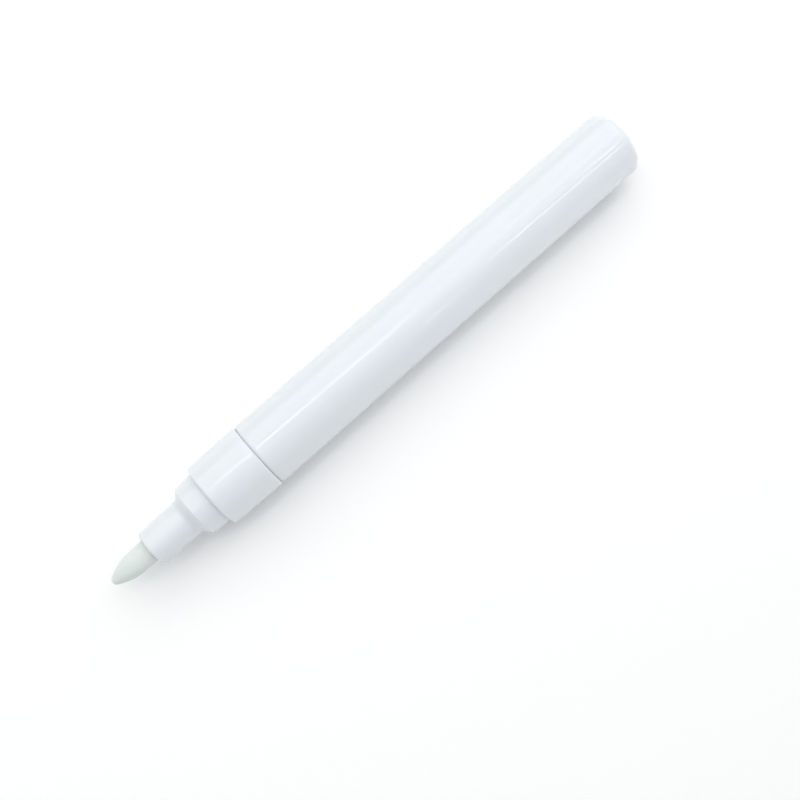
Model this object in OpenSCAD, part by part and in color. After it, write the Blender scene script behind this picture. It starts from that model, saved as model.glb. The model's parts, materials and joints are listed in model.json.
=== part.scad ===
/* [Barrel] */
// Outside diameter of the barrel
barrel_d = 15; // [14.5:0.1:15.1]
// Length of the barrel, from its closed rear end to its mouth
barrel_len = 100.6; // [85:0.2:120]
// Thickness of the barrel's side wall
barrel_wall = 1.3; // [1.2:0.05:1.4]
// Thickness of the barrel's closed rear end
rear_wall = 1.6; // [1.4:0.1:2.5]
// Rounding radius of the rear end's outer edge
rear_round = 1.65; // [1.2:0.05:2]
// Rounding radius of the mouth's outer edge
mouth_round = 0.9; // [0.5:0.05:1]

/* [Front section] */
// Diameter of the collar at its rear edge, which stands just proud of the barrel
collar_rear_d = 15.2; // [15.2:0.05:16]
// Diameter of the collar at its front edge
collar_front_d = 14.9; // [14.5:0.05:15.2]
// Length of the collar
collar_len = 12.5; // [10:0.1:16]
// Diameter of the ring that a cap grips
shoulder_d = 12.14; // [11.6:0.02:12.6]
// Length of the ring that a cap grips
shoulder_len = 4.1; // [3.5:0.1:6]
// Diameter of the nose where the slope runs into it
nose_root_d = 8.3; // [8.2:0.05:8.6]
// Diameter of the nose at its front
nose_front_d = 8.05; // [7.9:0.05:8.2]
// Distance from the collar's front edge to the nose's front face
nose_reach = 15.7; // [15:0.1:18]

/* [Nib] */
// Diameter of the nib
nib_d = 5.2; // [5:0.05:5.3]
// Length of the nib that stands out of the nose
nib_stand_out = 10; // [9:0.1:11]
// Whole length of the nib
nib_len = 30; // [29:0.5:31]
// Length of the nib's pointed end
nib_point_len = 6.5; // [5.5:0.1:7.5]

/* [Neck and valve] */
// Length of the neck that goes into the barrel
neck_len = 12; // [12:0.5:16]
// Thickness of the neck's wall
neck_wall = 1.5; // [1.45:0.05:1.55]
// Radial clearance between parts that slide or turn on each other
slide_fit = 0.05; // [0.03:0.01:0.08]
// Wire diameter of the valve spring
spring_wire_d = 0.45; // [0.4:0.05:0.5]
// Number of turns of the valve spring
spring_turns = 7; // [5:1:8]

/* [Hidden] */
$fn = 96;

// Distances along the pen are measured from the collar's rear face, positive toward the tip.
seam_gap = 0.1;
edge = 0.3;
over = 1;
arc_steps = 8;

collar_edge = 0.45;
rim_round = 0.7;
shoulder_edge = 0.3;
slope_fillet = 2;

mouth_at = -seam_gap;
rear_at = mouth_at - barrel_len;
shoulder_at = collar_len;
slope_at = shoulder_at + shoulder_len;
nose_at = collar_len + nose_reach;
tip_at = nose_at + nib_stand_out;
nib_rear_at = tip_at - nib_len;

barrel_r = barrel_d / 2;
bore_r = barrel_r - barrel_wall;
neck_r = bore_r - slide_fit;
socket_r = neck_r - neck_wall;
shoulder_r = shoulder_d / 2;
nose_root_r = nose_root_d / 2;
nose_front_r = nose_front_d / 2;
nib_r = nib_d / 2;

// The O-ring and its groove in the neck
seal_wire_r = 0.5;
seal_at = -2.2;
seal_ring_r = bore_r - slide_fit - seal_wire_r;
seal_groove_w = 1.3;
seal_groove_r = seal_ring_r - seal_wire_r - 0.02;

// Hollows of the front section
socket_end = 5;
chamber_r = 3.95;
chamber_end = 15.5;
guide_r = nib_r + slide_fit;
vent_r = 3.1;
rib_count = 6;
rib_w = 1;

// The fibre ring that sits in the chamber
absorber_at = socket_end + 1;
absorber_len = 8.5;
absorber_r = guide_r + slide_fit;

// Valve housing and the soft ring in its seat plate
housing_wall = 0.85;
housing_r = socket_r - housing_wall;
housing_rear_at = -neck_len + 0.6;
seat_plate_at = 3;
seat_hole_r = 1.6;
seat_ring_r = 3.2;
seat_pocket_len = 0.8;
seat_ring_proud = 0.3;
seat_at = seat_plate_at - seat_ring_proud;

// Valve stem
pin_r = 1.2;
head_r = 2.8;
head_len = 1.2;
head_at = seat_at - head_len;
spigot_r = 1.6;
spigot_len = 1.2;
tail_r = 1;

// Spring cage: a hub on spokes that closes the housing's rear end
cage_face_at = -8.4;
cage_plate_len = 1.2;
cage_hub_r = 2.6;
cage_rim_r = 3.1;
cage_flange_len = 0.6;
spoke_count = 4;
spoke_w = 1;
tail_at = cage_face_at - cage_plate_len - 0.2;

// Valve spring
spring_r = 2.2;
spring_gap = 0.02;
wire_sides = 6;
steps_per_turn = 18;

total_len = tip_at - rear_at;
seam_x = tip_at - total_len / 2;
axis_h = collar_rear_d / 2;

// Points [radius, distance along the pen] of an arc about [cr, ca], with the angle 0 pointing
// outward from the axis and 90 toward the tip
function arc(cr, ca, r, from, to) = [
    for (i = [0:arc_steps])
        let (a = from + (to - from) * i / arc_steps)
        [cr + r * cos(a), ca + r * sin(a)]
];

// Lays what is built along +Z down on the pen's axis, with +Z toward the tip
module along_pen() {
    translate([seam_x, 0, axis_h]) rotate([0, -90, 0]) children();
}

// A cylinder of radius r from distance a to distance b along the pen
module rod(r, a, b) {
    translate([0, 0, a]) cylinder(r = r, h = b - a);
}

module barrel() {
    outer = concat(
        [[0, rear_at]],
        arc(barrel_r - rear_round, rear_at + rear_round, rear_round, -90, 0),
        arc(barrel_r - mouth_round, mouth_at - mouth_round, mouth_round, 0, 90),
        [[0, mouth_at]]
    );
    color([0.93, 0.95, 0.96]) along_pen() difference() {
        rotate_extrude() polygon(outer);
        rod(bore_r, rear_at + rear_wall, mouth_at + over);
        translate([0, 0, mouth_at - edge])
            cylinder(r1 = bore_r, r2 = bore_r + 2 * edge, h = 2 * edge);
    }
}

// The outside of the front section, from the neck's rear end to the nose's front face
module section_outside() {
    fillet_run = slope_fillet * tan(22.5);
    corner_at = slope_at + shoulder_r - nose_root_r;
    profile = concat(
        [[0, -neck_len], [neck_r - edge, -neck_len], [neck_r, -neck_len + edge], [neck_r, 0]],
        [[collar_rear_d / 2, 0]],
        arc(collar_front_d / 2 - collar_edge, collar_len - collar_edge, collar_edge, 0, 90),
        [[shoulder_r, shoulder_at]],
        [[shoulder_r, slope_at - shoulder_edge], [shoulder_r - shoulder_edge, slope_at + shoulder_edge]],
        arc(nose_root_r + slope_fillet, corner_at + fillet_run, slope_fillet, 225, 180),
        arc(nose_front_r - rim_round, nose_at - rim_round, rim_round, 0, 90),
        [[0, nose_at]]
    );
    rotate_extrude() polygon(profile);
}

// The nib's way through the nose: a guide bore between ribs, with vents between them
module nose_bore() {
    rod(guide_r, chamber_end - over, nose_at + over);
    difference() {
        rod(vent_r, chamber_end - over, nose_at + over);
        for (i = [0:rib_count - 1])
            rotate(i * 360 / rib_count)
                translate([0, -rib_w / 2, chamber_end])
                    cube([2 * vent_r, rib_w, nose_at - chamber_end + 2 * over]);
    }
}

module front_section() {
    color([0.94, 0.96, 0.96]) along_pen() difference() {
        section_outside();
        rod(socket_r, -neck_len - over, socket_end);
        rod(chamber_r, socket_end - over, chamber_end);
        nose_bore();
        difference() {
            rod(neck_r + over, seal_at - seal_groove_w / 2, seal_at + seal_groove_w / 2);
            rod(seal_groove_r, seal_at - seal_groove_w, seal_at + seal_groove_w);
        }
    }
}

module neck_seal() {
    color([0.15, 0.15, 0.16]) along_pen() translate([0, 0, seal_at])
        rotate_extrude() translate([seal_ring_r, 0]) circle(r = seal_wire_r);
}

module drip_absorber() {
    color([0.9, 0.9, 0.86]) along_pen() difference() {
        rod(chamber_r, absorber_at, absorber_at + absorber_len);
        rod(absorber_r, absorber_at - over, absorber_at + absorber_len + over);
    }
}

module nib() {
    // The point is an arc that leaves the straight side tangent to it, with a round tip
    tip_r = 0.8;
    tip_len = 0.3;
    point_run = nib_point_len - tip_len;
    point_drop = nib_r - tip_r;
    point_r = (point_run * point_run + point_drop * point_drop) / (2 * point_drop);
    end_angle = asin(point_run / point_r);
    cap_r = (tip_len * tip_len + tip_r * tip_r) / (2 * tip_len);
    profile = concat(
        [[0, nib_rear_at], [nib_r - edge, nib_rear_at], [nib_r, nib_rear_at + edge]],
        arc(nib_r - point_r, tip_at - nib_point_len, point_r, 0, end_angle),
        [for (i = [1:arc_steps])
            let (a = asin(tip_r / cap_r) * (1 - i / arc_steps))
            [cap_r * sin(a), tip_at - cap_r + cap_r * cos(a)]]
    );
    color([0.86, 0.9, 0.86]) along_pen() rotate_extrude() polygon(profile);
}

module valve_housing() {
    color([0.9, 0.92, 0.94]) along_pen() difference() {
        rod(socket_r, housing_rear_at, socket_end);
        rod(housing_r, housing_rear_at - over, seat_plate_at);
        rod(seat_hole_r, seat_plate_at - over, socket_end + over);
        rod(seat_ring_r, seat_plate_at - over, seat_plate_at + seat_pocket_len);
    }
}

module valve_seat_ring() {
    color([0.75, 0.2, 0.15]) along_pen() difference() {
        rod(seat_ring_r, seat_at, seat_plate_at + seat_pocket_len);
        rod(seat_hole_r, seat_at - over, socket_end);
    }
}

module valve_stem() {
    color([0.9, 0.9, 0.88]) along_pen() {
        rod(pin_r, seat_at - edge, nib_rear_at);
        rod(head_r, head_at, seat_at);
        rod(spigot_r, head_at - spigot_len, head_at + edge);
        rod(tail_r, tail_at, head_at);
    }
}

module valve_spring() {
    low = cage_face_at + spring_wire_d / 2 + spring_gap;
    high = head_at - spring_wire_d / 2 - spring_gap;
    steps = spring_turns * steps_per_turn;
    points = [
        for (i = [0:steps], k = [0:wire_sides - 1])
            let (turn = i * 360 / steps_per_turn, around = k * 360 / wire_sides)
            let (r = spring_r + spring_wire_d / 2 * cos(around))
            [r * cos(turn), r * sin(turn),
             low + (high - low) * i / steps + spring_wire_d / 2 * sin(around)]
    ];
    sides = [
        for (i = [0:steps - 1], k = [0:wire_sides - 1])
            let (a = i * wire_sides + k, b = i * wire_sides + (k + 1) % wire_sides)
            [a, b, b + wire_sides, a + wire_sides]
    ];
    start_cap = [for (k = [wire_sides - 1:-1:0]) k];
    end_cap = [for (k = [0:wire_sides - 1]) steps * wire_sides + k];
    color([0.75, 0.76, 0.78]) along_pen()
        polyhedron(points = points, faces = concat(sides, [start_cap, end_cap]));
}

module spring_cage() {
    color([0.88, 0.9, 0.92]) along_pen() difference() {
        union() {
            rod(housing_r, housing_rear_at, cage_face_at);
            rod(socket_r, housing_rear_at - cage_flange_len, housing_rear_at);
        }
        rod(tail_r + slide_fit, -neck_len - over, cage_face_at + over);
        // Everything behind the hub and spokes is open
        rod(cage_rim_r, -neck_len - over, cage_face_at - cage_plate_len);
        difference() {
            rod(cage_rim_r, cage_face_at - 2 * cage_plate_len, cage_face_at + over);
            rod(cage_hub_r, cage_face_at - 3 * cage_plate_len, cage_face_at + 2 * over);
            for (i = [0:spoke_count - 1])
                rotate(i * 360 / spoke_count)
                    translate([0, -spoke_w / 2, cage_face_at - 3 * cage_plate_len])
                        cube([2 * cage_rim_r, spoke_w, 6 * cage_plate_len]);
        }
    }
}

barrel();
front_section();
neck_seal();
drip_absorber();
nib();
valve_housing();
valve_seat_ring();
valve_stem();
valve_spring();
spring_cage();
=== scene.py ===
"""Looks of an uncapped counterfeit detector pen, lying on a pale surface with its nib toward -X.

Distances are in millimetres along the pen, measured from the collar's rear face and positive toward
the tip. Radii are in millimetres from the pen's axis. place() turns both into metres in the shared
frame. An outline is a list of (radius, distance) points that lathe() turns about the axis.
"""
import json
import math

import bmesh
import bpy
from mathutils import Matrix, Vector, noise


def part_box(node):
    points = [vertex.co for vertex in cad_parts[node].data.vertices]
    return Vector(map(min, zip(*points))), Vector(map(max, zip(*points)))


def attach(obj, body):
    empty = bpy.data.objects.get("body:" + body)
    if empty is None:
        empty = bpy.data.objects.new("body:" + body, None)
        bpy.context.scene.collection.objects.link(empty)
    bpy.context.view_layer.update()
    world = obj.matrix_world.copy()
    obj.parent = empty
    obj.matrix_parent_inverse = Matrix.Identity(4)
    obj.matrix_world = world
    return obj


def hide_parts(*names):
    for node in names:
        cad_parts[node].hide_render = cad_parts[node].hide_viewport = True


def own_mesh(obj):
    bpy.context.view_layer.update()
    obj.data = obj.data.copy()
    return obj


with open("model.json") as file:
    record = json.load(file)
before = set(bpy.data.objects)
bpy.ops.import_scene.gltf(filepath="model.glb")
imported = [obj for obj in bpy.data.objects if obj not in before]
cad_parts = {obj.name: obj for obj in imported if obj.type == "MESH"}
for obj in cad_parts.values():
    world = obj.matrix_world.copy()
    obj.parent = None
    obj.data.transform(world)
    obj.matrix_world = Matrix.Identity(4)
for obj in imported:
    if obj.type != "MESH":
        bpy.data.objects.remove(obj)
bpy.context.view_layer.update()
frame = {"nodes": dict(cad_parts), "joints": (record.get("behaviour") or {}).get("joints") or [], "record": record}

MM = 0.001
HALF_PI = math.pi / 2
FULL_TURN = 2 * math.pi

# Points round a turned piece, and steps of an arc
AROUND = 192
INNER_AROUND = 96
ARC_STEPS = 10

# ---------------------------------------------------------------- sizes taken from the frame
joints = {joint["name"]: joint for joint in frame["joints"]}
mounts = {mount["name"]: mount for mount in frame["record"]["mounts"]}
SEAM_X, _, AXIS_Z = (metres / MM for metres in joints["section_screw"]["pos_m"])
SCREW_TRAVEL = joints["section_travel"]["range_m"][1] / MM
SCREW_TURNS = joints["section_screw"]["range_deg"][1] / 360
PITCH = SCREW_TRAVEL / SCREW_TURNS


def span(node):
    """(rear end, front end, radius) of a round CAD node."""
    low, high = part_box(node)
    return SEAM_X - high.x / MM, SEAM_X - low.x / MM, (high.z - low.z) / 2 / MM


REAR, MOUTH, BARREL_R = span("barrel")
NECK_END, NOSE, COLLAR_R = span("front_section")
NIB_REAR, TIP, NIB_R = span("nib")
SHOULDER_R = mounts["cap_seat"]["dims"]["r_mm"]

# Places and radii inside the CAD nodes' boxes, as in the CAD model
COLLAR_LEN = 12.5
SHOULDER_END = 16.6
REAR_WALL = 1.6
REAR_ROUND = 1.65
BORE_R = 6.2
NECK_R = 6.15
SOCKET_R = 4.65
SOCKET_END = 5.0
CHAMBER_R = 3.95
CHAMBER_END = 15.5
SEAT_HOLE_R = 1.6

# The screw thread: its depth in mm, its width and flanks in parts of the pitch, and its ends
THREAD_DEPTH = 0.55
THREAD_CLEARANCE = 0.12
THREAD_WIDTH = 0.3
THREAD_FLANK = 0.1
THREAD_STEP = PITCH / 14
NECK_THREAD = (-11.3, -3.7)
BARREL_THREAD = (-11.0, -4.3)


# ---------------------------------------------------------------- mesh making
def arc(centre_r, centre_at, r, start, end, steps=ARC_STEPS):
    """Points of an arc: angle 0 points away from the axis, 90 toward the tip."""
    angles = [math.radians(start + (end - start) * i / steps) for i in range(steps + 1)]
    return [(centre_r + r * math.cos(a), centre_at + r * math.sin(a)) for a in angles]


def oval(centre_r, centre_at, wide, long, steps=14):
    """Points of a quarter of an oval, from its outermost point to its front."""
    angles = [HALF_PI * i / steps for i in range(steps + 1)]
    return [(centre_r + wide * math.cos(a), centre_at + long * math.sin(a)) for a in angles]


def run(r, start, end, step):
    """Points at one radius from start to end, about a step apart, without the last."""
    count = max(1, round(abs(end - start) / step))
    return [(r, start + (end - start) * i / count) for i in range(count)]


def rounded_tube(inner_r, outer_r, low, high, edge):
    """Outline of a tube with rounded edges."""
    outline = arc(outer_r - edge, low + edge, edge, -90, 0, 4)
    outline += arc(outer_r - edge, high - edge, edge, 0, 90, 4)
    outline += arc(inner_r + edge, high - edge, edge, 90, 180, 4)
    outline += arc(inner_r + edge, low + edge, edge, 180, 270, 4)
    return outline


def place(r, angle, along):
    """A point of the pen in the shared frame, in metres."""
    return Vector((SEAM_X - along, r * math.sin(angle), AXIS_Z + r * math.cos(angle))) * MM


def lathe(outline, around=AROUND, shape=None):
    """A closed solid turned from an outline of (radius, distance) points.

    shape(radius, distance, angle) may give each point its own radius."""
    bm = bmesh.new()
    rings = []
    for r, along in outline:
        if r < 1e-6:
            rings.append([bm.verts.new(place(0, 0, along))])
            continue
        ring = []
        for i in range(around):
            angle = FULL_TURN * i / around
            own_r = shape(r, along, angle) if shape else r
            ring.append(bm.verts.new(place(own_r, angle, along)))
        rings.append(ring)
    for low, high in zip(rings, rings[1:] + rings[:1]):
        if len(low) == 1 and len(high) == 1:
            continue
        for i in range(around):
            j = (i + 1) % around
            if len(low) == 1:
                bm.faces.new((low[0], high[i], high[j]))
            elif len(high) == 1:
                bm.faces.new((low[i], high[0], low[j]))
            else:
                bm.faces.new((low[i], high[i], high[j], low[j]))
    return bm


def finish_mesh(name, bm, material, body, node, smooth_angle=35):
    """Makes the piece's object, ties it to its body, gives it its finish and hides its CAD node."""
    bmesh.ops.recalc_face_normals(bm, faces=bm.faces)
    mesh = bpy.data.meshes.new(name)
    bm.to_mesh(mesh)
    bm.free()
    mesh.shade_smooth()
    mesh.set_sharp_from_angle(angle=math.radians(smooth_angle))
    mesh.materials.append(material)
    piece = bpy.data.objects.new(name, mesh)
    bpy.context.scene.collection.objects.link(piece)
    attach(piece, body)
    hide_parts(node)
    return piece


# ---------------------------------------------------------------- materials
def shader_nodes(name, **values):
    """A new material with its Principled shader's plain values set: (material, nodes, links, shader)."""
    material = bpy.data.materials.new(name)
    material.use_nodes = True
    nodes, links = material.node_tree.nodes, material.node_tree.links
    shader = nodes["Principled BSDF"]
    for socket, value in values.items():
        shader.inputs[socket.replace("_", " ")].default_value = value
    return material, nodes, links, shader


def add(nodes, kind, **values):
    """A new shader node with its plain inputs set by name."""
    node = nodes.new(kind)
    for socket, value in values.items():
        node.inputs[socket.replace("_", " ")].default_value = value
    return node


def surface_coordinates(nodes, links, scale):
    """The point on the piece as it was made, stretched by scale for each axis (in 1/m)."""
    source = nodes.new("ShaderNodeTexCoord")
    stretch = add(nodes, "ShaderNodeMapping", Scale=scale)
    links.new(source.outputs["Object"], stretch.inputs["Vector"])
    return stretch.outputs["Vector"]


def noise_value(nodes, links, scale, detail=3.0, roughness=0.5):
    """Grey noise, with one feature about 1/scale metres across on each axis."""
    texture = add(nodes, "ShaderNodeTexNoise", Scale=1.0, Detail=detail, Roughness=roughness)
    links.new(surface_coordinates(nodes, links, scale), texture.inputs["Vector"])
    return texture.outputs["Fac"]


def ranged(nodes, links, value, low, high):
    """Noise carried into the range low to high. Most of it lies between 0.3 and 0.7."""
    change = nodes.new("ShaderNodeMapRange")
    limits = {"From Min": 0.3, "From Max": 0.7, "To Min": low, "To Max": high}
    for socket, number in limits.items():
        change.inputs[socket].default_value = number
    links.new(value, change.inputs["Value"])
    return change.outputs["Result"]


def between(nodes, links, value, first, second):
    """A colour that runs from first to second with a grey value."""
    ramp = nodes.new("ShaderNodeValToRGB")
    ramp.color_ramp.elements[0].color = (*first, 1)
    ramp.color_ramp.elements[1].color = (*second, 1)
    links.new(value, ramp.inputs["Fac"])
    return ramp.outputs["Color"]


def bumped(nodes, links, shader, layers):
    """Stacks bump layers (value, height in metres) on the shader."""
    normal = None
    for value, height in layers:
        bump = add(nodes, "ShaderNodeBump", Strength=1.0, Distance=height)
        links.new(value, bump.inputs["Height"])
        if normal is not None:
            links.new(normal, bump.inputs["Normal"])
        normal = bump.outputs["Normal"]
    links.new(normal, shader.inputs["Normal"])


def moulded_plastic(name, light, dark, roughness, milky):
    """Injection-moulded plastic: slow flow tone, ripple and peel, faint handling marks along the pen."""
    material, nodes, links, shader = shader_nodes(
        name, Roughness=roughness, Subsurface_Weight=milky, Subsurface_Scale=0.001,
        Subsurface_Radius=(1.0, 1.0, 1.0), IOR=1.49)
    flow = noise_value(nodes, links, (60, 160, 160))
    links.new(between(nodes, links, flow, dark, light), shader.inputs["Base Color"])
    wear = noise_value(nodes, links, (350, 4000, 4000), detail=4.0, roughness=0.6)
    dulled = ranged(nodes, links, wear, roughness * 0.85, roughness * 1.3)
    links.new(dulled, shader.inputs["Roughness"])
    ripple = noise_value(nodes, links, (60, 300, 300), detail=2.0)
    peel = noise_value(nodes, links, (900, 900, 900), detail=2.0)
    scuffs = noise_value(nodes, links, (250, 9000, 9000), detail=5.0, roughness=0.65)
    bumped(nodes, links, shader, [(ripple, 1.0e-5), (peel, 4.0e-6), (scuffs, 0.2e-6)])
    return material


def bonded_fibre(name, light, dark, grain, height):
    """Bonded fibre: strands along the pen, with a soft sheen and light that soaks in."""
    material, nodes, links, shader = shader_nodes(
        name, Roughness=0.85, Subsurface_Weight=0.35, Subsurface_Scale=0.001,
        Subsurface_Radius=(0.9, 1.0, 0.8), Sheen_Weight=0.15, Sheen_Roughness=0.5, IOR=1.45,
        Specular_IOR_Level=0.25)
    strands = noise_value(nodes, links, grain, detail=5.0, roughness=0.65)
    tone = ranged(nodes, links, strands, 0.0, 1.0)
    links.new(between(nodes, links, tone, dark, light), shader.inputs["Base Color"])
    pits = noise_value(nodes, links, (7000, 7000, 7000), roughness=0.6)
    bumped(nodes, links, shader, [(strands, height), (pits, height * 0.6)])
    return material


def rubber(name, light, dark, roughness):
    """Moulded rubber with a dusty bloom and a fine pitted skin."""
    material, nodes, links, shader = shader_nodes(name, Roughness=roughness, IOR=1.5)
    bloom = noise_value(nodes, links, (900, 900, 900), detail=4.0, roughness=0.6)
    links.new(between(nodes, links, bloom, dark, light), shader.inputs["Base Color"])
    dusty = ranged(nodes, links, bloom, roughness * 0.8, roughness * 1.2)
    links.new(dusty, shader.inputs["Roughness"])
    pits = noise_value(nodes, links, (12000, 12000, 12000))
    bumped(nodes, links, shader, [(pits, 3.0e-6)])
    return material


def drawn_wire(name, light, dark):
    """Drawn stainless wire with fine marks."""
    material, nodes, links, shader = shader_nodes(name, Metallic=1.0, Roughness=0.28)
    marks = noise_value(nodes, links, (3000, 14000, 14000), detail=4.0)
    links.new(between(nodes, links, marks, dark, light), shader.inputs["Base Color"])
    links.new(ranged(nodes, links, marks, 0.2, 0.42), shader.inputs["Roughness"])
    bumped(nodes, links, shader, [(marks, 1.5e-6)])
    return material


def paper(name, light, dark):
    """Matte pale paper for the floor."""
    material, nodes, links, shader = shader_nodes(name, Roughness=0.9, Specular_IOR_Level=0.1)
    tone = noise_value(nodes, links, (400, 400, 400), detail=4.0)
    links.new(between(nodes, links, tone, dark, light), shader.inputs["Base Color"])
    return material


WHITE_BARREL = moulded_plastic(
    "barrel_plastic", (0.735, 0.765, 0.795), (0.713, 0.745, 0.777), roughness=0.08, milky=0.6)
WHITE_SECTION = moulded_plastic(
    "section_plastic", (0.738, 0.770, 0.797), (0.716, 0.750, 0.779), roughness=0.08, milky=0.6)
MILKY_HOUSING = moulded_plastic(
    "housing_plastic", (0.80, 0.82, 0.81), (0.74, 0.77, 0.77), roughness=0.4, milky=0.4)
MILKY_CAGE = moulded_plastic(
    "cage_plastic", (0.74, 0.79, 0.84), (0.69, 0.74, 0.80), roughness=0.4, milky=0.4)
NATURAL_STEM = moulded_plastic(
    "stem_plastic", (0.82, 0.81, 0.74), (0.78, 0.76, 0.69), roughness=0.32, milky=0.3)
NIB_FIBRE = bonded_fibre(
    "nib_fibre", (0.71, 0.762, 0.736), (0.665, 0.718, 0.697), grain=(500, 9000, 9000), height=6.0e-6)
FELT = bonded_fibre(
    "absorber_fibre", (0.86, 0.86, 0.80), (0.68, 0.68, 0.62), grain=(2500, 5000, 5000), height=2.5e-5)
BLACK_RUBBER = rubber("seal_rubber", (0.035, 0.035, 0.038), (0.012, 0.012, 0.013), roughness=0.42)
RED_RUBBER = rubber("seat_rubber", (0.42, 0.09, 0.06), (0.32, 0.055, 0.035), roughness=0.5)
STEEL = drawn_wire("spring_steel", (0.70, 0.71, 0.73), (0.46, 0.47, 0.49))
FLOOR_PAPER = paper("floor_paper", (0.97, 0.97, 0.97), (0.955, 0.955, 0.955))


# ---------------------------------------------------------------- the screw thread
def ridge(along, angle, shift):
    """Height from 0 to 1 of a right-hand helical ridge, moved along by shift, a part of the pitch."""
    turn = (along / PITCH - angle / FULL_TURN - shift) % 1.0
    off_centre = abs(turn - 0.5)
    return min(1.0, max(0.0, (THREAD_WIDTH / 2 + THREAD_FLANK / 2 - off_centre) / THREAD_FLANK))


def fade(along, ends, length):
    """1 between the ends, falling to 0 over length inside each end."""
    low, high = ends
    return min(1.0, max(0.0, (along - low) / length), max(0.0, (high - along) / length))


# ---------------------------------------------------------------- outside pieces
def rear_end_outline():
    """The closed rear end: a moulding gate's mark in a shallow dish, a flat, and a rounded edge."""
    stub_r, stub_at, stub_foot, stub_slope = 0.35, REAR + 0.1, 0.15, 0.03
    dish_r, dish_at, dish_edge = 1.3, REAR + 0.25, 0.2
    flat_rings = (3.2, 4.6)
    outline = [(0, stub_at), (stub_r, stub_at), (stub_r + 0.1, stub_at + stub_slope)]
    outline += [(stub_r + stub_foot, dish_at), (dish_r, dish_at)]
    outline += arc(dish_r + 2 * dish_edge, REAR + dish_edge, dish_edge, 180, 270, 4)
    outline += [(r, REAR) for r in flat_rings]
    outline += arc(BARREL_R - REAR_ROUND, REAR + REAR_ROUND, REAR_ROUND, -90, 0, 16)
    return outline


def make_barrel():
    """The barrel: a tube with a closed rear end, a round mouth and a thread inside the mouth."""
    mouth_drop, mouth_run, inner_round = 0.55, 1.0, 0.8
    lead_in, lead_in_w, lip_w, lip = 0.3, 0.22, 0.1, 0.04
    floor_at = REAR + REAR_WALL
    outline = rear_end_outline()
    outline += run(BARREL_R, REAR + REAR_ROUND + 2, MOUTH - mouth_run, 6)
    outline += oval(BARREL_R - mouth_drop, MOUTH - mouth_run, mouth_drop, mouth_run)
    outline += [(BORE_R + lead_in_w + lip_w, MOUTH), (BORE_R + lead_in_w, MOUTH - lip)]
    outline += [(BORE_R, MOUTH - lead_in)]
    outline += run(BORE_R, MOUTH - 2 * lead_in, BARREL_THREAD[0] - 0.3, THREAD_STEP)
    outline += run(BORE_R, BARREL_THREAD[0] - 1, floor_at + inner_round, 8)
    outline += arc(BORE_R - inner_round, floor_at + inner_round, inner_round, 0, -90, 6)
    outline += [(0, floor_at)]

    def inner_thread(r, along, angle):
        if r != BORE_R or not BARREL_THREAD[0] < along < BARREL_THREAD[1]:
            return r
        height = ridge(along, angle, shift=0.5) * fade(along, BARREL_THREAD, length=0.7)
        return r - (THREAD_DEPTH - THREAD_CLEARANCE) * height

    return finish_mesh("barrel_tube", lathe(outline, shape=inner_thread), WHITE_BARREL,
                       "barrel", "barrel")


def neck_outline(core_r):
    """Outside of the neck: its rear edge, the thread's core, a plain top and the O-ring's groove."""
    end_edge, lip, core_top, plain_top, top_edge = 0.3, 0.2, -3.55, -3.3, 0.12
    groove_r, groove_at, groove_half, edge = 5.13, -2.2, 0.65, 0.1
    low, high = groove_at - groove_half, groove_at + groove_half
    core_low, core_high = NECK_END + 0.5, NECK_THREAD[1] + 0.1
    outline = [(SOCKET_R, NECK_END + end_edge), (SOCKET_R + lip, NECK_END)]
    outline += arc(core_r - end_edge, NECK_END + end_edge, end_edge, -90, 0, 4)
    outline += run(core_r, core_low, core_high, THREAD_STEP)
    outline += [(core_r, core_top), (NECK_R - top_edge, core_top + 0.15), (NECK_R, plain_top)]
    outline += [(NECK_R, low - edge), (NECK_R - edge, low)]
    outline += [(groove_r + edge, low), (groove_r, low + edge)]
    outline += [(groove_r, high - edge), (groove_r + edge, high)]
    outline += [(NECK_R - edge, high), (NECK_R, high + edge)]
    return outline


def collar_outline():
    """The collar: a low land on its rear face that closes the seam, a small taper, a round front edge."""
    land_r, land, land_edge = 7.15, 0.085, 0.05
    rear_edge, front_r, front_edge = 0.3, 7.45, 0.7
    taper, taper_rings = 0.0125, (4.0, 8.0)
    outline = [(NECK_R, -land), (land_r - 2 * land_edge, -land)]
    outline += arc(land_r - land_edge, land_edge - land, land_edge, -90, 0, 3)
    outline += [(land_r, 0)]
    outline += arc(COLLAR_R - rear_edge, rear_edge, rear_edge, -90, 0, 8)
    outline += [(COLLAR_R - taper * along, along) for along in taper_rings]
    outline += arc(front_r - front_edge, COLLAR_LEN - front_edge, front_edge, 0, 90, 12)
    return outline


def shoulder_and_nose_outline():
    """The ring that a cap grips, with its draft, the 45 degree slope, and the nose with its round rim."""
    draft, foot, break_edge = 0.1, 0.12, 0.3
    root_r, front_r, rim, fillet = 4.15, 4.025, 0.7, 2.0
    nose_rings = ((4.12, 22.0), (4.06, 25.5))
    slope_end = SHOULDER_END + SHOULDER_R - root_r
    fillet_run = fillet * math.tan(math.radians(22.5))
    outline = arc(SHOULDER_R + draft + foot, COLLAR_LEN + foot, foot, 270, 180, 4)
    outline += arc(SHOULDER_R - draft - break_edge, SHOULDER_END, break_edge, 0, 45, 6)
    outline += arc(root_r + fillet, slope_end + fillet_run, fillet, 225, 180, 14)
    outline += nose_rings
    outline += arc(front_r - rim, NOSE - rim, rim, 0, 90, 14)
    return outline


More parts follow.
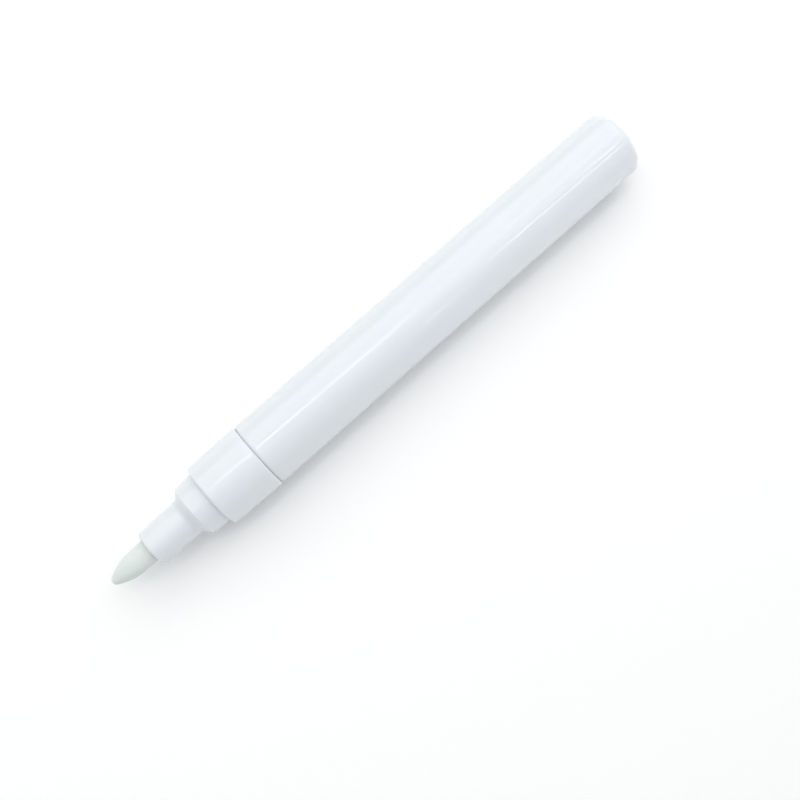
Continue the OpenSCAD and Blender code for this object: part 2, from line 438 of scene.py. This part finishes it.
def hollow_outline(vent_r):
    """Inside of the front section: the nose's bore, the absorber's chamber and the valve's socket."""
    edge, chamber_slope, ledge, chamber_ring_at, socket_ring_at = 0.12, 0.5, 0.1, 10.0, -3.0
    outline = arc(vent_r + edge, NOSE - edge, edge, 90, 180, 4)
    outline += run(vent_r, NOSE - 0.3, CHAMBER_END, 2.0)
    outline += [(vent_r, CHAMBER_END), (CHAMBER_R, CHAMBER_END - chamber_slope)]
    outline += [(CHAMBER_R, chamber_ring_at), (CHAMBER_R, SOCKET_END + ledge)]
    outline += [(CHAMBER_R + ledge, SOCKET_END), (SOCKET_R, SOCKET_END), (SOCKET_R, socket_ring_at)]
    return outline


def make_front_section():
    """The front section: one shell with the thread on its neck and six guide ribs in its nose."""
    core_r = NECK_R - THREAD_DEPTH
    guide_r, vent_r, rib_count, rib_w, rib_flank = 2.65, 3.1, 6, 1.0, 0.04
    outline = neck_outline(core_r) + collar_outline() + shoulder_and_nose_outline()
    outline += hollow_outline(vent_r)

    def neck_thread_and_ribs(r, along, angle):
        if r == core_r and NECK_THREAD[0] < along < NECK_THREAD[1]:
            height = ridge(along, angle, shift=0.0) * fade(along, NECK_THREAD, length=0.5)
            return r + THREAD_DEPTH * height
        if r == vent_r:
            sector = FULL_TURN / rib_count
            off_rib = abs((angle + sector / 2) % sector - sector / 2)
            inside = min(1.0, max(0.0, (rib_w / 2 / guide_r - off_rib) / rib_flank + 0.5))
            return vent_r - (vent_r - guide_r) * inside
        return r

    return finish_mesh("front_section_shell", lathe(outline, shape=neck_thread_and_ribs),
                       WHITE_SECTION, "front_section", "front_section")


def make_nib():
    """The nib: a straight rod of bonded fibre with a bullet point and a small round tip."""
    rear_ring_r, rear_round, point_len, tip_r, tip_len = 1.2, 0.3, 6.5, 0.8, 0.3
    drop, reach = NIB_R - tip_r, point_len - tip_len
    point_r = (reach ** 2 + drop ** 2) / (2 * drop)
    point_angle = math.degrees(math.asin(reach / point_r))
    cap_r = (tip_len ** 2 + tip_r ** 2) / (2 * tip_len)
    cap_angle = math.degrees(math.asin(tip_r / cap_r))
    outline = [(0, NIB_REAR), (rear_ring_r, NIB_REAR)]
    outline += arc(NIB_R - rear_round, NIB_REAR + rear_round, rear_round, -90, 0, 5)
    outline += run(NIB_R, NIB_REAR + 1.0, TIP - point_len, 0.6)
    outline += arc(NIB_R - point_r, TIP - point_len, point_r, 0, point_angle, 40)
    outline += arc(0, TIP - cap_r, cap_r, 90 - cap_angle, 90, 8)[1:-1]
    outline += [(0, TIP)]

    def strands(r, along, angle):
        """Fine ridges of the fibre bundle, at most 0.015 mm deep."""
        around, lengthways, depth = 14, 0.35, 0.0055
        where = Vector((math.cos(angle) * around, math.sin(angle) * around, along * lengthways))
        return r * (1 - depth * (0.5 + 0.5 * noise.noise(where)))

    return finish_mesh("nib_rod", lathe(outline, around=256, shape=strands), NIB_FIBRE,
                       "nib", "nib", smooth_angle=60)


# ---------------------------------------------------------------- inside pieces
def make_neck_seal():
    """The O-ring: a ring of round rubber."""
    low, high, outer_r = span("neck_seal")
    wire_r = (high - low) / 2
    steps = 16
    last_angle = 360 - 360 / steps
    outline = arc(outer_r - wire_r, (low + high) / 2, wire_r, 0, last_angle, steps - 1)
    return finish_mesh("neck_o_ring", lathe(outline, around=128), BLACK_RUBBER,
                       "neck_seal", "neck_seal")


def make_drip_absorber():
    """The fibre ring round the back of the nib."""
    clearance, edge = 0.1, 0.25
    low, high, outer_r = span("drip_absorber")
    outline = rounded_tube(NIB_R + clearance, outer_r, low, high, edge)
    return finish_mesh("drip_absorber_sleeve", lathe(outline, INNER_AROUND), FELT,
                       "front_section", "drip_absorber")


def make_valve_housing():
    """The valve's cup, with three relief grooves round it and a pocket for the seat washer."""
    low, high, outer_r = span("valve_housing")
    inner_r, inner_ring_at, plate_at, pocket_r, pocket_end = 3.8, -2.0, 3.0, 3.2, 3.8
    relief, foot_half, top_half = 0.12, 0.3, 0.5
    rear_edge, front_edge, hole_edge, pocket_edge, inner_edge = 0.3, 0.4, 0.25, 0.1, 0.2
    outline = arc(outer_r - rear_edge, low + rear_edge, rear_edge, -90, 0, 4)
    for groove_at in (-8.0, -4.0, 0.0):
        outline += [(outer_r, groove_at - top_half), (outer_r - relief, groove_at - foot_half)]
        outline += [(outer_r - relief, groove_at + foot_half), (outer_r, groove_at + top_half)]
    outline += arc(outer_r - front_edge, high - front_edge, front_edge, 0, 90, 4)
    outline += [(SEAT_HOLE_R + hole_edge, high), (SEAT_HOLE_R, high - hole_edge)]
    outline += [(SEAT_HOLE_R, pocket_end), (pocket_r, pocket_end)]
    outline += [(pocket_r, plate_at + pocket_edge), (pocket_r + pocket_edge, plate_at)]
    outline += [(inner_r - inner_edge, plate_at), (inner_r, plate_at - inner_edge)]
    outline += [(inner_r, inner_ring_at), (inner_r, low + inner_edge), (inner_r + inner_edge, low)]
    return finish_mesh("valve_housing_cup", lathe(outline, around=128), MILKY_HOUSING,
                       "front_section", "valve_housing")


def make_valve_seat_ring():
    """The soft washer that the valve closes on."""
    low, high, outer_r = span("valve_seat_ring")
    outline = rounded_tube(SEAT_HOLE_R, outer_r, low, high, edge=0.12)
    return finish_mesh("valve_seat_washer", lathe(outline, INNER_AROUND), RED_RUBBER,
                       "front_section", "valve_seat_ring")


def make_valve_stem():
    """The stem: a tail that the cage guides, a spigot for the spring, the valve's head, a fluted pin."""
    low, high, head_r = span("valve_stem")
    tail_r, spigot_r, pin_r = 1.0, 1.6, 1.2
    tail_ring_at, spigot_at, head_rear, head_front = -4.0, 0.3, 1.5, 2.7
    end_edge, corner, spigot_edge, pin_foot = 0.3, 0.1, 0.2, 0.2
    head_rear_edge, head_front_edge = 0.15, 0.4
    flute_depth, flute_count, flute_ends = 0.28, 4, (head_front + 0.5, high - 0.4)
    outline = [(0, low)] + arc(tail_r - end_edge, low + end_edge, end_edge, -90, 0, 4)
    outline += [(tail_r, tail_ring_at)]
    outline += arc(tail_r + corner, spigot_at - corner, corner, 180, 90, 3)
    outline += arc(spigot_r - spigot_edge, spigot_at + spigot_edge, spigot_edge, -90, 0, 4)
    outline += [(spigot_r, head_rear)]
    outline += arc(head_r - head_rear_edge, head_rear + head_rear_edge, head_rear_edge, -90, 0, 4)
    outline += arc(head_r - head_front_edge, head_front - head_front_edge, head_front_edge, 0, 90, 6)
    outline += [(pin_r + pin_foot, head_front), (pin_r, head_front + pin_foot)]
    outline += run(pin_r, head_front + 0.6, high - end_edge, 0.6)
    outline += arc(pin_r - end_edge, high - end_edge, end_edge, 0, 90, 5) + [(0, high)]

    def flutes(r, along, angle):
        """Shallow flutes along the pin, for the fluid."""
        if r != pin_r or not flute_ends[0] <= along <= flute_ends[1]:
            return r
        return r - flute_depth * max(0.0, math.cos(flute_count * angle)) ** 2

    return finish_mesh("valve_stem_pin", lathe(outline, INNER_AROUND, shape=flutes), NATURAL_STEM,
                       "valve_stem", "valve_stem")


def make_spring():
    """A right-hand compression spring whose end turns are closed."""
    low, high, outer_r = span("valve_spring")
    wire_r, turns, sides, per_turn, slack = 0.225, 7, 12, 36, 1.04
    coil_r = outer_r - wire_r
    start, end = low + wire_r, high - wire_r
    end_pitch = 2 * wire_r * slack
    middle_pitch = (end - start - 2 * end_pitch) / (turns - 2)
    bm = bmesh.new()
    rings = []
    for i in range(turns * per_turn + 1):
        turn = i / per_turn
        if turn <= 1:
            along = start + end_pitch * turn
        elif turn >= turns - 1:
            along = end - end_pitch * (turns - turn)
        else:
            along = start + end_pitch + middle_pitch * (turn - 1)
        ring = []
        for k in range(sides):
            side = FULL_TURN * k / sides
            r, at = coil_r + wire_r * math.cos(side), along + wire_r * math.sin(side)
            ring.append(bm.verts.new(place(r, FULL_TURN * turn, at)))
        rings.append(ring)
    for a, b in zip(rings, rings[1:]):
        for k in range(sides):
            following = (k + 1) % sides
            bm.faces.new((a[k], a[following], b[following], b[k]))
    bm.faces.new(rings[0])
    bm.faces.new(rings[-1])
    spring = finish_mesh("valve_spring_coil", bm, STEEL,
                         "front_section", "valve_spring", smooth_angle=50)
    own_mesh(spring)
    return spring


def finish_cage():
    """The CAD model's spring cage keeps its shape and gets its own plastic."""
    cage = frame["nodes"]["spring_cage"]
    cage.data.materials.clear()
    cage.data.materials.append(MILKY_CAGE)
    return cage


pen = bpy.data.collections.new("pen")
for make in (make_barrel, make_front_section, make_nib, make_neck_seal, make_drip_absorber,
             make_valve_housing, make_valve_seat_ring, make_valve_stem, make_spring, finish_cage):
    pen.objects.link(make())


# ---------------------------------------------------------------- floor, light and camera
NEUTRAL = (1.0, 1.0, 1.0)
WARM = (1.0, 1.0, 0.98)
PALE_WARM = (1.0, 0.995, 0.98)
COOL = (0.95, 0.99, 1.03)


def make_floor(half_side=3.0):
    """A plain square floor, half_side metres from its middle to each edge."""
    corners = [(x * half_side, y * half_side, 0) for x, y in ((-1, -1), (1, -1), (1, 1), (-1, 1))]
    mesh = bpy.data.meshes.new("floor")
    mesh.from_pydata(corners, [], [(0, 1, 2, 3)])
    mesh.materials.append(FLOOR_PAPER)
    floor = bpy.data.objects.new("floor", mesh)
    bpy.context.scene.collection.objects.link(floor)


def strip_light(name, angle, spread, radiance, colour, centre=0.5, length=2.0, distance=0.6, skew=0.0):
    """A soft box along the pen: angle degrees from overhead toward +Y, spread degrees wide seen from
    the pen, centred at centre along +X, and turned skew degrees away from the pen's direction. Its
    brightness is radiance from every side. centre, length and distance are in metres."""
    width = 2 * distance * math.tan(math.radians(spread / 2))
    data = bpy.data.lights.new(name, "AREA")
    data.shape = "RECTANGLE"
    data.size, data.size_y = length, width
    data.energy = math.pi * length * width * radiance
    data.color = colour
    light = bpy.data.objects.new(name, data)
    bpy.context.scene.collection.objects.link(light)
    tilt = math.radians(angle)
    height = distance * math.cos(tilt) + AXIS_Z * MM
    where = Matrix.Translation((centre, distance * math.sin(tilt), height))
    turn = Matrix.Rotation(-tilt, 4, "X") @ Matrix.Rotation(math.radians(skew), 4, "Z")
    light.matrix_world = where @ turn
    return light


def make_lights():
    """Three soft boxes, four thin tubes that draw the highlight lines, and a side light for the pen only.

    The side light stands in for the light that the pen's neighbours would throw back on it."""
    strip_light("key", angle=40, spread=48, radiance=1.12, colour=WARM)
    strip_light("top", angle=10, spread=9, radiance=1.9, colour=PALE_WARM)
    strip_light("fill", angle=-6, spread=24, radiance=0.81, colour=COOL)
    tube_spread, tube_radiance = 2.4, 5.0
    tubes = (("tube_front", 7.5, -0.006, 0.235), ("tube_middle", -44.5, 0.131, 0.05),
             ("tube_rear", -29.5, 0.257, 0.185), ("tube_end", -17.5, 0.315, 0.055))
    for name, angle, centre, length in tubes:
        strip_light(name, angle, tube_spread, tube_radiance, NEUTRAL, centre, length,
                    distance=0.57, skew=-26)
    bounce = strip_light("bounce", angle=-62, spread=40, radiance=0.85, colour=NEUTRAL,
                         centre=0.06, length=0.14, distance=0.15)
    bounce.visible_camera = False
    bounce.visible_glossy = False
    bounce.light_linking.receiver_collection = pen


def make_world(colour=(0.98, 0.99, 1.0), strength=0.48):
    """Even, dim surroundings."""
    world = bpy.data.worlds.new("studio")
    bpy.context.scene.world = world
    world.use_nodes = True
    sky = world.node_tree.nodes["Background"]
    sky.inputs["Color"].default_value = (*colour, 1)
    sky.inputs["Strength"].default_value = strength


def make_camera(location, turn_degrees, lens):
    """The camera, almost straight above the pen. It is at location in metres."""
    data = bpy.data.cameras.new("camera")
    data.sensor_width = 36
    data.lens = lens
    data.clip_start = 0.01
    camera = bpy.data.objects.new("camera", data)
    bpy.context.scene.collection.objects.link(camera)
    camera.location = location
    camera.rotation_euler = [math.radians(degrees) for degrees in turn_degrees]
    bpy.context.scene.camera = camera
    bpy.context.scene.view_settings.view_transform = "Standard"


make_floor()
make_lights()
make_world()
make_camera(location=(-0.02124, -0.02941, 0.20119), turn_degrees=(7.82, -0.53, -41.91), lens=42.78)
